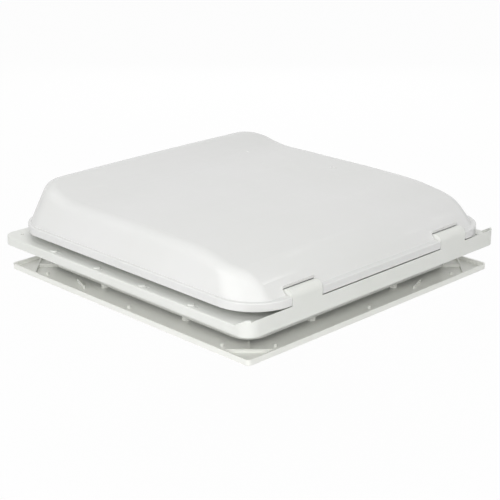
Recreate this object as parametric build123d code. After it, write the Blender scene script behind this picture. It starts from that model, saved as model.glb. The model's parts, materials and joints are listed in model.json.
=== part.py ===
from build123d import *
import math
import os

# Caravan roof vent: a hinged dome over a square opening in the roof.
# Millimetres, Z up. The origin is the middle of the opening, on the roof's outer face.
# The lid hinges about Y on the +X side, and its free, high edge is on the -X side.

# Driving sizes
cutout_width = 400.0
roof_thickness = 30.0
dome_height = 91.5
wall = 3.0
overrun = 1.0

# Clearances
running_gap = 0.05
loose_gap = 0.3
screw_gap = 0.1
notch_gap = 1.0

# Roof frame
cutout_gap = 2.0
flange_reach = 42.0
flange_height = 12.0
flange_radius = 18.0
edge_round = 1.5
neck_radius = 28.0
neck_depth = 29.0
collar_rise = 11.7
fascia_rise = 9.3
fascia_ramp_inset = 24.0
fascia_ramp_length = 16.0
pad_pitch = 89.4
pad_count = 4
pad_inset = 8.8
pad_radius = 4.5
pad_height = 1.3
pad_round = 0.6
hole_from_pad = 11.0
hole_radius = 2.1
hinge_hole_pitch = 60.0
hinge_hole_inset = 18.0
corner_hole_inset = 20.0
screw_tube_radius = 3.8
boss_inset = 4.5
boss_radius = 4.5
boss_height = 21.0
boss_spread = 80.0

# Dome
rim_gap = 1.5
rim_height = 10.2
rim_reach = 33.4
rim_free_reach = 32.0
rim_hinge_reach = 10.0
rim_radius = 59.0
rim_flare = 5.4
rim_edge_round = 1.5
dome_free_foot_radius = 50.0
dome_free_top_radius = 38.0
dome_hinge_foot_radius = 54.0
dome_hinge_top_radius = 90.0
dome_draft = 20.0
dome_edge_round = 18.0
dome_crown = 2.5
dome_hinge_run = 9.0
crest_length = 40.0
crest_drop_run = 55.0
saddle_drop = 14.0
back_drop = 13.0
back_inset = 200.0
shoulder_drop = 14.5
shoulder_inset = 115.0
brow_drop = 29.5
brow_inset = 35.0
crest_round = 90.0
saddle_round = 150.0
back_round = 1500.0
shoulder_round = 300.0
brow_round = 60.0

# Lid hinge
hinge_inset = 10.0
hinge_rise = 7.2
hinge_spread = 141.0
knuckle_radius = 10.0
knuckle_width = 52.0
hinge_pin_radius = 2.5
ear_width = 8.0
ear_radius = 6.5
lid_swing_gap = 0.6

# Lid ring, its seal and its screws
seal_thickness = 3.0
ring_thickness = 3.0
ring_edge_gap = 4.4
ring_hinge_gap = 1.5
ring_opening_inset = 8.0
ring_opening_radius = 22.0
seal_overlap = 2.5
post_radius = 4.5
post_inset = 22.4
post_hinge_inset = 10.5
post_side_run = 150.0
post_end_run = 70.0
post_hole_depth = 12.0

# Small screws
screw_radius = 1.9
screw_head_radius = 3.7
screw_head_height = 2.4
slot_width = 1.0
slot_depth = 1.0
small_screw_radius = 1.4
small_head_radius = 3.0
small_head_height = 2.0

# Lift shaft, arms and guide rails
shaft_wall_gap = 19.0
shaft_height = 20.0
shaft_radius = 5.0
arm_length = 170.0
arm_thickness = 5.0
arm_width = 12.0
arm_hub_radius = 9.0
arm_hub_length = 9.0
arm_tip_radius = 7.0
rail_spread = 120.0
rail_depth = 14.0
rail_height = 16.0
rail_wall = 2.0
rail_overlap = 19.0
rail_screw_inset = 4.5
shoe_length = 26.0
shoe_drift = 1.6
shoe_round = 2.0
arm_rail_gap = 4.0
shoe_pin_radius = 3.0
shoe_pin_head_radius = 5.0
shoe_pin_head = 2.0
bracket_radius = 9.5
bracket_width = 8.0
bracket_foot = 4.0
bracket_foot_width = 24.0
bracket_foot_bottom = -5.0
bush_radius = 7.0
clip_radius = 7.5
clip_thickness = 1.0
clip_depth = 0.8
cross_pin_radius = 1.5

# Worm drive
gear_module = 1.75
gear_teeth = 32
gear_width = 6.0
gear_hub_length = 16.0
gear_hub_radius = 8.0
tooth_play = 0.6
flank_angle = 20.0
worm_pitch_radius = 7.0
worm_half_length = 12.0
worm_end = 1.5
worm_room = 3.5
worm_shaft_radius = 4.0
addendum_share = 0.85
dedendum_share = 1.15
gear_teeth_above = 2
gear_teeth_below = 6

# Gearbox
gearbox_wall = 2.5
gearbox_half_width = 12.0
gear_top_room = 4.0
gearbox_ring_gap = 2.0
gearbox_foot = 4.0
gearbox_foot_half_width = 22.0
gearbox_foot_bottom = -8.0
gearbox_foot_top = 18.0
cover_boss_radius = 2.8
cover_boss_rise = 5.5
cover_screw_length = 9.0
worm_bush_radius = 6.0
worm_bush_flange = 7.5

# Ceiling frame
ceiling_reach = 34.0
tray_thickness = 2.5
lip_height = 7.5
lip_width = 2.5
frame_radius = 5.0
trim_inset = 18.0
trim_radius = 18.0
trim_height = 24.0
panel_thickness = 2.5
corner_rib_leg = 49.0
rib_thickness = 2.0
rib_drop = 1.0
side_rib_reach = 121.5
side_rib_run = 28.0
side_rib_inset = 28.0
side_rib_rise = 11.0
pin_post_radius = 2.2
pin_post_inset = 15.0
pin_post_spread = 172.0
frame_boss_radius = 5.5
frame_boss_recess = 4.0
counterbore_radius = 4.2
plug_radius = 4.1
plug_thickness = 0.8

# Hand knob
knob_radius = 29.0
knob_thickness = 7.5
knob_gap = 2.5
knob_room = 17.0
knob_flutes = 12
knob_flute_radius = 3.0
knob_round = 1.5
knob_hub_recess = 3.0
knob_screw_length = 12.0
grip_offset = 19.0
grip_radius = 7.0
grip_length = 11.0
grip_round = 2.5
grip_pin_radius = 2.0
grip_pin_head_radius = 4.0
grip_pin_head = 1.2

# Flyscreen
screen_gap = 1.5
screen_rise = 1.5
screen_thickness = 5.0
screen_bar = 14.0
screen_radius = 16.0
screen_barrel_radius = 3.0
screen_pin_radius = 1.0
screen_pin_length = 30.0
screen_hinge_gap = 5.0
screen_lug_width = 16.0
screen_lug_spread = 120.0
net_thickness = 0.6
net_overlap = 5.0
magnet_radius = 4.0
magnet_depth = 3.0
magnet_spread = 60.0
strike_size = 12.0
strike_thickness = 1.0
strike_lug_height = 4.0

# Sizes that follow from these
neck_half = cutout_width / 2 - cutout_gap
neck_inner = neck_half - wall
flange_half = neck_half + flange_reach
frame_half = neck_half + ceiling_reach
collar_height = flange_height + collar_rise
fascia_height = flange_height + fascia_rise
hinge_x = flange_half - hinge_inset
rim_half_width = neck_half + rim_reach
rim_free_half = neck_half + rim_free_reach
rim_hinge_half = hinge_x + rim_hinge_reach
rim_bottom = fascia_height + rim_gap
rim_top = rim_bottom + rim_height
hinge_height = rim_bottom + hinge_rise
rim_sweep = math.hypot(rim_hinge_reach, hinge_rise)
crown_radius = rim_half_width ** 2 / (2 * dome_crown)
ring_bottom = collar_height + loose_gap + seal_thickness
ring_top = ring_bottom + ring_thickness
ring_opening_half = neck_half - ring_opening_inset
ring_high = hinge_x - knuckle_radius - ring_hinge_gap
shaft_x = neck_inner - shaft_wall_gap
rail_bottom = ring_top
rail_half_length = ring_opening_half + rail_overlap
shoe_pin_z = rail_bottom + rail_height / 2 + shoe_drift / 2
arm_angle = math.degrees(math.asin((shoe_pin_z - shaft_height) / arm_length))
shoe_pin_x = shaft_x - arm_length * math.cos(math.radians(arm_angle))
rail_inner_y = rail_spread - rail_depth / 2
arm_outer_y = rail_inner_y - arm_rail_gap
gear_radius = gear_module * gear_teeth / 2
gear_pitch = math.pi * gear_module
worm_x = shaft_x - gear_radius - worm_pitch_radius
gear_outer = gear_radius + gear_module * addendum_share
gear_root = gear_radius - gear_module * dedendum_share
worm_outer = worm_pitch_radius + gear_module * addendum_share
worm_root = worm_pitch_radius - gear_module * dedendum_share
frame_bottom = -roof_thickness - lip_height
tray_top = frame_bottom + tray_thickness
lip_top = frame_bottom + lip_height
rib_top = lip_top - rib_drop
trim_half_width = neck_half - trim_inset
trim_inner = trim_half_width - wall
trim_top = frame_bottom + trim_height
panel_top = trim_top + panel_thickness
panel_edge = worm_x - knob_radius - knob_room
gearbox_bottom = panel_top + loose_gap
gearbox_left = worm_x - gearbox_half_width
gearbox_right = ring_opening_half - gearbox_ring_gap
gearbox_shelf_height = shaft_height + worm_half_length + worm_end + worm_room
gearbox_top = shaft_height + gear_radius + gear_top_room
hinge_pin_half = knuckle_width / 2 + notch_gap + ear_width
boss_line = neck_inner - boss_inset
screen_bottom = frame_bottom + screen_rise
screen_top = screen_bottom + screen_thickness
screen_hinge_x = panel_edge - wall - screen_hinge_gap
screen_hinge_z = screen_bottom + screen_thickness / 2


def block(x0, x1, y0, y1, z0, z1):
    """Box between two corners."""
    middle = Pos((x0 + x1) / 2, (y0 + y1) / 2, (z0 + z1) / 2)
    return middle * Box(abs(x1 - x0), abs(y1 - y0), abs(z1 - z0))


def plate(x0, x1, half_y, radius, z0, z1):
    """Flat plate with rounded corners, the same to both sides of the XZ plane."""
    outline = RectangleRounded(x1 - x0, 2 * half_y, radius)
    return Pos((x0 + x1) / 2, 0, z0) * extrude(outline, amount=z1 - z0)


def square(half, radius, z0, z1):
    """Square plate with rounded corners about the origin."""
    return plate(-half, half, half, radius, z0, z1)


def rod_z(x, y, radius, z0, z1):
    """Upright cylinder."""
    return Pos(x, y, (z0 + z1) / 2) * Cylinder(radius, abs(z1 - z0))


def rod_y(x, z, radius, y0, y1):
    """Cylinder along Y."""
    return Pos(x, (y0 + y1) / 2, z) * Rot(90, 0, 0) * Cylinder(radius, abs(y1 - y0))


def rod_x(y, z, radius, x0, x1):
    """Cylinder along X."""
    return Pos((x0 + x1) / 2, y, z) * Rot(0, 90, 0) * Cylinder(radius, abs(x1 - x0))


def prism_y(outline, y0, y1):
    """Prism along Y from a face drawn in the XZ plane, where the face's own Y is Z."""
    upright = Pos(0, y1, 0) * Rot(90, 0, 0) * outline
    return extrude(upright, amount=y1 - y0, dir=(0, -1, 0))


def both_sides(shape):
    """The shape and its mirror image to the other side of the XZ plane."""
    return [shape, mirror(shape, about=Plane.XZ)]


def pan_screw(radius, length, head_radius, head_height):
    """Cross-slotted pan-head screw, its head above the origin and its shank below."""
    head = Pos(0, 0, head_height / 2) * Cylinder(head_radius, head_height)
    head = fillet(head.edges().group_by(Axis.Z)[-1], head_height / 3)
    shank = Pos(0, 0, -length / 2) * Cylinder(radius, length)
    slot = Box(head_radius, slot_width, slot_depth * 2)
    cross = slot + Rot(0, 0, 90) * slot
    return head + shank - Pos(0, 0, head_height) * cross


def save(name, shape):
    """Write one sub-component to its own file."""
    export_step(shape, f"parts/{name}.step")


def group(solids):
    """Separate solids kept together under one name."""
    return Compound(children=[part.solid() for part in solids])


# Places of the flange's pads and holes, the frame screws and the ring screws
def pad_runs():
    middle = (pad_count - 1) / 2
    return [(index - middle) * pad_pitch for index in range(pad_count)]


def pad_places():
    """Raised pads on the three open sides of the flange."""
    edge = flange_half - pad_inset
    places = [(run, side * edge) for side in (-1, 1) for run in pad_runs()]
    return places + [(-edge, run) for run in pad_runs()]


def flange_holes():
    """Screw holes in the flange: one beside each pad, one in each corner, four by the hinge."""
    edge = flange_half - pad_inset
    corner = flange_half - corner_hole_inset
    middle = (pad_count - 1) / 2
    places = [(run + hole_from_pad, side * edge) for side in (-1, 1) for run in pad_runs()]
    places += [(-edge, run + math.copysign(hole_from_pad, run)) for run in pad_runs()]
    places += [(x, y) for x in (-corner, corner) for y in (-corner, corner)]
    hinge_line = flange_half - hinge_hole_inset
    places += [(hinge_line, (index - middle) * hinge_hole_pitch) for index in range(pad_count)]
    return places


def frame_screw_places():
    """Screws that draw the ceiling frame up against the roof frame."""
    places = []
    for side in (-1, 1):
        for run in (-boss_spread, boss_spread):
            places.append((side * boss_line, run))
            places.append((run, side * boss_line))
    return places


def ring_posts():
    """Posts inside the dome that the lid ring is screwed to."""
    line = rim_half_width - post_inset
    ends = [post_inset - rim_free_half, ring_high - post_hinge_inset]
    places = [(run, side * line) for side in (-1, 1) for run in (-post_side_run, 0, post_side_run)]
    places += [(x, run) for x in ends for run in (-post_end_run, post_end_run)]
    return places


# Roof frame: flange, collar, hinge fascia and knuckles in one moulding
def fascia():
    """Upright band along the hinge side that runs down to the flange round its corners."""
    outer = square(flange_half, flange_radius, 0, fascia_height)
    inner = square(flange_half - wall, flange_radius - wall, -overrun, fascia_height + overrun)
    ramp_foot = flange_half - fascia_ramp_inset
    ramp_top = ramp_foot + fascia_ramp_length
    window = Polygon(
        (ramp_foot, flange_height - edge_round),
        (ramp_foot, flange_height),
        (ramp_top, fascia_height),
        (flange_half + overrun, fascia_height),
        (flange_half + overrun, flange_height - edge_round),
        align=None,
    )
    band = (outer - inner) & prism_y(window, -flange_half, flange_half)
    reach = rim_half_width + notch_gap
    relief = rod_y(hinge_x, hinge_height, rim_sweep + lid_swing_gap, -reach, reach)
    return band - relief


def knuckle():
    """Frame half of one hinge, flush with the fascia and round over the pin."""
    y0 = hinge_spread - knuckle_width / 2
    y1 = hinge_spread + knuckle_width / 2
    barrel = rod_y(hinge_x, hinge_height, knuckle_radius, y0, y1)
    foot_left = hinge_x - knuckle_radius
    foot = block(foot_left, hinge_x + knuckle_radius, y0, y1, flange_height - wall, hinge_height)
    bore = rod_y(hinge_x, hinge_height, hinge_pin_radius + running_gap, y0 - overrun, y1 + overrun)
    return barrel + foot - bore


def roof_frame():
    flange = square(flange_half, flange_radius, 0, flange_height)
    flange = fillet(flange.edges().group_by(Axis.Z)[-1], edge_round)
    flange -= square(flange_half - wall, flange_radius - wall, -overrun, flange_height - wall)
    frame = flange + square(neck_half, neck_radius, -neck_depth, collar_height)
    frame += fascia()
    for side in both_sides(knuckle()):
        frame += side
    for x, y in flange_holes():
        frame += rod_z(x, y, screw_tube_radius, 0, flange_height - edge_round)
    pad = rod_z(0, 0, pad_radius, flange_height - wall, flange_height + pad_height)
    pad = fillet(pad.edges().group_by(Axis.Z)[-1], pad_round)
    for x, y in pad_places():
        frame += Pos(x, y, 0) * pad
    frame -= square(neck_inner, neck_radius - wall, -neck_depth - overrun, collar_height + overrun)
    for x, y in flange_holes():
        frame -= rod_z(x, y, hole_radius, -overrun, flange_height + overrun)
    for x, y in frame_screw_places():
        frame += frame_boss(x, y)
    for x, y in frame_screw_places():
        hole_top = -neck_depth + boss_height - wall
        frame -= rod_z(x, y, screw_radius + screw_gap, -neck_depth - overrun, hole_top)
    for y, z in wall_screw_places():
        frame -= rod_x(y, z, small_screw_radius + screw_gap, neck_inner - overrun, neck_half + overrun)
    return frame


def frame_boss(x, y):
    """Screw boss on the inner face of the neck."""
    top = -neck_depth + boss_height
    boss = rod_z(x, y, boss_radius, -neck_depth, top)
    reach = boss_inset + wall / 2
    if abs(x) > abs(y):
        end = math.copysign(abs(x) + reach, x)
        return boss + block(min(x, end), max(x, end), y - boss_radius, y + boss_radius, -neck_depth, top)
    end = math.copysign(abs(y) + reach, y)
    return boss + block(x - boss_radius, x + boss_radius, min(y, end), max(y, end), -neck_depth, top)


def wall_screw_places():
    """Screws through the collar that hold the gearbox and the shaft brackets."""
    across = gearbox_foot_half_width - bracket_foot
    places = [(side * across, 0) for side in (-1, 1)]
    places += [(side * across, gearbox_foot_top - bracket_foot) for side in (-1, 1)]
    spread = bracket_foot_width / 2 - bracket_foot
    for side in (-1, 1):
        places += [(side * (rail_spread - spread), 0), (side * (rail_spread + spread), 0)]
    return places


def roof_gasket():
    """Foam strip in the hollow under the flange."""
    outer_half = flange_half - pad_inset - screw_tube_radius - overrun
    gasket = square(outer_half, neck_radius, 0, flange_height - wall)
    gasket -= square(neck_half + loose_gap, neck_radius, -overrun, flange_height)
    for x, y in flange_holes():
        gasket -= rod_z(x, y, screw_tube_radius + loose_gap, -overrun, flange_height)
    return gasket


# Dome lid
def dome_outline(inset):
    """Side view of the dome's top: the crest, a dip behind it, then a long fall to the hinge."""
    crest_end = -rim_free_half + crest_length
    brow_x = rim_hinge_half - brow_inset
    brow_z = dome_height - brow_drop
    foot_x = rim_hinge_half - dome_hinge_run
    below_x = foot_x + (foot_x - brow_x) * rim_height / (brow_z - rim_top)
    line = FilletPolyline(
        (-rim_free_half - rim_height, dome_height),
        (crest_end, dome_height),
        (crest_end + crest_drop_run, dome_height - saddle_drop),
        (rim_hinge_half - back_inset, dome_height - back_drop),
        (rim_hinge_half - shoulder_inset, dome_height - shoulder_drop),
        (brow_x, brow_z),
        (below_x, rim_bottom),
        radius=[crest_round, saddle_round, back_round, shoulder_round, brow_round],
    )
    sides = Polyline(
        (below_x, rim_bottom),
        (below_x, rim_bottom - rim_height),
        (-rim_free_half - rim_height, rim_bottom - rim_height),
        (-rim_free_half - rim_height, dome_height),
    )
    outline = make_face(line + sides)
    if inset > 0:
        outline = offset(outline, amount=-inset, kind=Kind.INTERSECTION)
    return outline


def crowned(outline):
    """Solid under the side view, its top bent down a little to both sides."""
    axis = Axis((0, 0, -crown_radius), (1, 0, 0))
    reach = math.degrees(math.asin((rim_half_width + rim_height) / crown_radius))
    upright = (Rot(90, 0, 0) * outline).rotate(axis, -reach)
    return revolve(upright, axis=axis, revolution_arc=2 * reach)


def dome_core(inset, base):
    """Solid dome above the given height, every face moved in by the inset."""
    spread = math.tan(math.radians(dome_draft))

    def section(z, free_radius, hinge_radius):
        shrink = rim_flare + inset + (z - rim_top) * spread
        low = -rim_free_half + shrink
        high = rim_hinge_half - shrink
        outline = Rectangle(high - low, 2 * (rim_half_width - shrink))
        free_corners = outline.vertices().group_by(Axis.X)[0]
        outline = fillet(free_corners, free_radius - inset)
        hinge_corners = outline.vertices().group_by(Axis.X)[-1]
        outline = fillet(hinge_corners, hinge_radius - inset)
        return Pos((low + high) / 2, 0, z) * outline

    foot = section(base, dome_free_foot_radius, dome_hinge_foot_radius)
    head = section(dome_height + rim_height, dome_free_top_radius, dome_hinge_top_radius)
    core = loft([foot, head], ruled=True)
    core &= crowned(dome_outline(inset))
    slope_share = 0.52
    tops = [face for face in core.faces() if face.normal_at().Z > slope_share]
    sides = [face for face in core.faces() if abs(face.normal_at().Z) <= slope_share]
    top_edges = [edge for face in tops for edge in face.edges()]
    side_edges = [edge for face in sides for edge in face.edges()]
    creases = [edge for edge in top_edges if edge in side_edges]
    return fillet(creases, dome_edge_round - inset)


def rim(inset, z0, z1):
    """Band round the foot of the dome."""
    low = -rim_free_half + inset
    high = rim_hinge_half - inset
    return plate(low, high, rim_half_width - inset, rim_radius - inset, z0, z1)


def hinge_ears():
    """Lugs inside the rim, one to each side of the knuckle, that turn on the pin."""
    ears = []
    first = hinge_spread - knuckle_width / 2 - notch_gap - ear_width
    second = hinge_spread + knuckle_width / 2 + notch_gap
    for y0 in (first, second):
        ear = rod_y(hinge_x, hinge_height, ear_radius, y0, y0 + ear_width)
        ear &= block(hinge_x - ear_radius, flange_half, y0, y0 + ear_width, rim_bottom, rim_top)
        ear += block(hinge_x - ear_radius, hinge_x + ear_radius, y0, y0 + ear_width, hinge_height, rim_top)
        ears.append(ear)
    return ears


def hinge_cowl():
    """Curved cover inside the notch, round the back of the knuckle."""
    y0 = hinge_spread - knuckle_width / 2 - notch_gap
    y1 = hinge_spread + knuckle_width / 2 + notch_gap
    inner = knuckle_radius + notch_gap
    cowl = rod_y(hinge_x, hinge_height, inner + wall, y0, y1)
    cowl -= rod_y(hinge_x, hinge_height, inner, y0 - overrun, y1 + overrun)
    window_x = hinge_x - knuckle_radius / 2
    return cowl & block(hinge_x - inner - wall, window_x, y0, y1, ring_top + loose_gap, dome_height)


def dome_lid():
    outer = rim(0, rim_bottom, rim_top)
    outer = fillet(outer.edges().group_by(Axis.Z)[-1], rim_edge_round)
    core = dome_core(0, rim_top - wall)
    lid = outer + core
    posts = rod_z(0, 0, post_radius, ring_top, dome_height)
    hollow = rim(wall, rim_bottom - overrun, rim_top - wall) + dome_core(wall, rim_top - 2 * wall)
    shell = lid - hollow
    post_limit = Pos(0, 0, -wall / 2) * core
    for x, y in ring_posts():
        shell += (Pos(x, y, 0) * posts) & post_limit
    notch_y0 = hinge_spread - knuckle_width / 2 - notch_gap
    notch_y1 = hinge_spread + knuckle_width / 2 + notch_gap
    notch_x = hinge_x - knuckle_radius - notch_gap
    notch_top = hinge_height + knuckle_radius + notch_gap
    notch = block(notch_x, flange_half + overrun, notch_y0, notch_y1, rim_bottom - overrun, notch_top)
    for cut in both_sides(notch):
        shell -= cut
    for piece in hinge_ears() + [hinge_cowl()]:
        for side in both_sides(piece):
            shell += side
    bore_y0 = hinge_spread - hinge_pin_half - overrun
    bore_y1 = hinge_spread + hinge_pin_half + overrun
    for bore in both_sides(rod_y(hinge_x, hinge_height, hinge_pin_radius + running_gap, bore_y0, bore_y1)):
        shell -= bore
    for x, y in ring_posts():
        shell -= rod_z(x, y, small_screw_radius + screw_gap, ring_top - overrun, ring_top + post_hole_depth)
    return shell


def lid_ring():
    """Flat ring screwed into the dome, which carries the seal and the rails."""
    low = -rim_free_half + wall + ring_edge_gap
    half = rim_half_width - wall - ring_edge_gap
    ring_radius = rim_radius - wall - ring_edge_gap
    ring = plate(low, ring_high, half, ring_radius, ring_bottom, ring_top)
    ring -= square(ring_opening_half, ring_opening_radius, ring_bottom - overrun, ring_top + overrun)
    for x, y in ring_posts():
        ring -= rod_z(x, y, small_screw_radius + screw_gap, ring_bottom - overrun, ring_top + overrun)
    for x, y in rail_screw_places():
        ring -= rod_z(x, y, small_screw_radius + screw_gap, ring_bottom - overrun, ring_top + overrun)
    return ring


def lid_seal():
    """Rubber strip under the ring that closes on top of the collar."""
    seal_bottom = collar_height + loose_gap
    seal = square(neck_half + seal_overlap, neck_radius + seal_overlap, seal_bottom, ring_bottom)
    seal -= square(neck_inner - seal_overlap, neck_radius - seal_overlap, seal_bottom - overrun, ring_top)
    return seal


def ring_screws():
    length = ring_thickness + post_hole_depth - overrun
    screw = Rot(180, 0, 0) * pan_screw(small_screw_radius, length, small_head_radius, small_head_height)
    return [Pos(x, y, ring_bottom) * screw for x, y in ring_posts()]


# Guide rails and the shoes that run in them
def guide_rail():
    """Channel on the ring, open towards the middle of the lid."""
    top = rail_bottom + rail_height
    outer_y = rail_spread + rail_depth / 2
    rail = block(-rail_half_length, rail_half_length, rail_inner_y, outer_y, rail_bottom, top)
    reach = rail_half_length + overrun
    inner_y = rail_inner_y - overrun
    rail -= block(-reach, reach, inner_y, outer_y - rail_wall, rail_bottom + rail_wall, top - rail_wall)
    for x, y in rail_screw_places():
        if y > 0:
            rail -= rod_z(x, y, small_screw_radius + screw_gap, 0, rail_bottom + 2 * rail_wall)
    return rail


def rail_screw_places():
    run = rail_half_length - rail_screw_inset
    return [(end * run, side * rail_spread) for end in (-1, 1) for side in (-1, 1)]


def rail_screws():
    length = rail_wall + ring_thickness + overrun
    screw = pan_screw(small_screw_radius, length, small_head_radius, small_head_height)
    return [Pos(x, y, rail_bottom + rail_wall) * screw for x, y in rail_screw_places()]


def slide_shoe():
    """Block that runs in the rail and turns on the arm's pin."""
    y0 = rail_inner_y - overrun
    y1 = rail_spread + rail_depth / 2 - rail_wall - loose_gap
    half_height = rail_height / 2 - rail_wall - shoe_drift / 2 - loose_gap
    z0 = shoe_pin_z - half_height
    x0 = shoe_pin_x - shoe_length / 2
    shoe = block(x0, x0 + shoe_length, y0, y1, z0, z0 + 2 * half_height)
    shoe = fillet(shoe.edges().filter_by(Axis.Y), shoe_round)
    return shoe - rod_y(shoe_pin_x, shoe_pin_z, shoe_pin_radius + running_gap, y0 - overrun, y1 + overrun)


# Lift shaft with its arms, and the sector gear in the middle
def cross_shaft():
    half = rail_spread + bracket_width / 2 + 2 * clip_thickness + loose_gap
    shaft = rod_y(shaft_x, shaft_height, shaft_radius, -half, half)
    groove = rod_y(shaft_x, shaft_height, shaft_radius + overrun, 0, clip_thickness + 2 * running_gap)
    groove -= rod_y(shaft_x, shaft_height, shaft_radius - clip_depth, -overrun, clip_thickness + overrun)
    start = rail_spread + bracket_width / 2 + loose_gap - running_gap
    for cut in both_sides(Pos(0, start, 0) * groove):
        shaft -= cut
    for y in cross_pin_places():
        shaft -= rod_z(shaft_x, y, cross_pin_radius + running_gap, 0, 2 * shaft_height)
    return shaft


def cross_pin_places():
    arm_middle = arm_outer_y - arm_hub_length / 2
    gear_pin = gear_width / 2 + cross_pin_radius + overrun
    return [-arm_middle, gear_pin, arm_middle]


def cross_pins():
    """Pins through the shaft and the hubs of the arms and the gear."""
    reaches = [arm_hub_radius, gear_hub_radius, arm_hub_radius]
    pins = []
    for y, radius in zip(cross_pin_places(), reaches):
        reach = radius - loose_gap
        pins.append(rod_z(shaft_x, y, cross_pin_radius, shaft_height - reach, shaft_height + reach))
    return pins


def lift_arm():
    """Flat arm from the shaft to the pin of its shoe."""
    inner_y = arm_outer_y - arm_thickness
    hub = rod_y(shaft_x, shaft_height, arm_hub_radius, arm_outer_y - arm_hub_length, arm_outer_y)
    tip = rod_y(shoe_pin_x, shoe_pin_z, arm_tip_radius, inner_y, arm_outer_y)
    bar = Pos(-arm_length / 2, (inner_y + arm_outer_y) / 2, 0) * Box(arm_length, arm_thickness, arm_width)
    bar = Pos(shaft_x, 0, shaft_height) * Rot(0, arm_angle, 0) * bar
    arm = hub + tip + bar
    y0 = arm_outer_y - arm_hub_length - overrun
    y1 = arm_outer_y + overrun
    arm -= rod_y(shaft_x, shaft_height, shaft_radius + running_gap, y0, y1)
    arm -= rod_y(shoe_pin_x, shoe_pin_z, shoe_pin_radius + running_gap, y0, y1)
    y_pin = arm_outer_y - arm_hub_length / 2
    arm -= rod_z(shaft_x, y_pin, cross_pin_radius + running_gap, 0, 2 * shaft_height)
    return arm


def shoe_pins():
    inner_y = arm_outer_y - arm_thickness
    end_y = rail_spread + rail_depth / 2 - rail_wall - 2 * loose_gap
    pin = rod_y(shoe_pin_x, shoe_pin_z, shoe_pin_radius, inner_y - shoe_pin_head, end_y)
    pin += rod_y(shoe_pin_x, shoe_pin_z, shoe_pin_head_radius, inner_y - shoe_pin_head, inner_y)
    return both_sides(pin)


def gear_tooth():
    """One straight-sided tooth pointing to +X from the gear's middle."""
    half = gear_pitch / 4 - tooth_play / 2
    lean = math.tan(math.radians(flank_angle))
    tip_half = half - (gear_outer - gear_radius) * lean
    root_half = half + (gear_radius - gear_root) * lean
    return Polygon(
        (gear_root - overrun, -root_half),
        (gear_root, -root_half),
        (gear_outer, -tip_half),
        (gear_outer, tip_half),
        (gear_root, root_half),
        (gear_root - overrun, root_half),
        align=None,
    )


def sector_gear():
    """Worm wheel sector. A tooth gap faces the worm when the lid is shut."""
    step = 360 / gear_teeth
    start = 180 - gear_teeth_above * step
    span = (gear_teeth_above + gear_teeth_below) * step
    middle = math.radians(start + span / 2)
    far = gear_root / math.cos(math.radians(span / 2))
    first = math.radians(start)
    last = math.radians(start + span)
    wedge = Polygon(
        (0, 0),
        (far * math.cos(first), far * math.sin(first)),
        (far * math.cos(middle), far * math.sin(middle)),
        (far * math.cos(last), far * math.sin(last)),
        align=None,
    )
    face = Circle(gear_root) & wedge
    for index in range(-gear_teeth_above, gear_teeth_below):
        face += Rot(0, 0, 180 + (index + 1 / 2) * step) * gear_tooth()
    web = prism_y(face, -gear_width / 2, gear_width / 2)
    hub = rod_y(0, 0, gear_hub_radius, -gear_hub_length / 2, gear_hub_length / 2)
    gear = Pos(shaft_x, 0, shaft_height) * (web + hub)
    gear -= rod_y(shaft_x, shaft_height, shaft_radius + running_gap, -gear_hub_length, gear_hub_length)
    pin_y = cross_pin_places()[1]
    return gear - rod_z(shaft_x, pin_y, cross_pin_radius + running_gap, 0, 2 * shaft_height)


def shaft_bracket():
    """Bearing for one end of the shaft, screwed to the collar."""
    y0 = rail_spread - bracket_width / 2
    y1 = rail_spread + bracket_width / 2
    eye = rod_y(shaft_x, shaft_height, bracket_radius, y0, y1)
    arm_top = shaft_height + overrun
    arm = block(shaft_x, neck_inner, y0, y1, shaft_height - bracket_radius, arm_top)
    foot_y0 = rail_spread - bracket_foot_width / 2
    foot_y1 = rail_spread + bracket_foot_width / 2
    foot = block(neck_inner - bracket_foot, neck_inner, foot_y0, foot_y1, bracket_foot_bottom, arm_top)
    bracket = eye + arm + foot
    bracket -= rod_y(shaft_x, shaft_height, bush_radius, y0 - overrun, y1 + overrun)
    for y, z in wall_screw_places():
        if y > gearbox_foot_half_width:
            bracket -= rod_x(y, z, small_screw_radius + screw_gap, shaft_x, neck_half)
    return bracket


def shaft_bushes():
    y0 = rail_spread - bracket_width / 2
    y1 = rail_spread + bracket_width / 2
    bush = rod_y(shaft_x, shaft_height, bush_radius, y0, y1)
    bush -= rod_y(shaft_x, shaft_height, shaft_radius + running_gap, y0 - overrun, y1 + overrun)
    return both_sides(bush)


def shaft_clips():
    """Spring clips that hold the shaft endways."""
    y0 = rail_spread + bracket_width / 2 + loose_gap
    y1 = y0 + clip_thickness
    clip = rod_y(shaft_x, shaft_height, clip_radius, y0, y1)
    clip -= rod_y(shaft_x, shaft_height, shaft_radius - clip_depth + running_gap, y0 - overrun, y1 + overrun)
    mouth = shaft_radius - clip_depth - running_gap
    clip -= block(shaft_x - mouth, shaft_x + mouth, y0 - overrun, y1 + overrun, 0, shaft_height)
    return both_sides(clip)


def wall_screws():
    length = bracket_foot + wall - overrun / 2
    screw = pan_screw(small_screw_radius, length, small_head_radius, small_head_height)
    screw = Rot(0, -90, 0) * screw
    return [Pos(neck_inner - bracket_foot, y, z) * screw for y, z in wall_screw_places()]


# Gearbox and worm
def gearbox_outline():
    return Polygon(
        (gearbox_left, gearbox_bottom),
        (gearbox_right, gearbox_bottom),
        (gearbox_right, gearbox_top),
        (worm_x + worm_pitch_radius, gearbox_top),
        (gearbox_left, gearbox_shelf_height + gearbox_wall),
        align=None,
    )


def cover_screw_places():
    inset = cover_boss_radius + overrun / 2
    return [
        (gearbox_left + inset, gearbox_bottom + inset + cover_boss_rise),
        (gearbox_right - inset, gearbox_bottom + inset),
        (gearbox_right - inset, gearbox_top - inset),
        (worm_x + worm_pitch_radius + inset, gearbox_top - inset),
    ]


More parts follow.
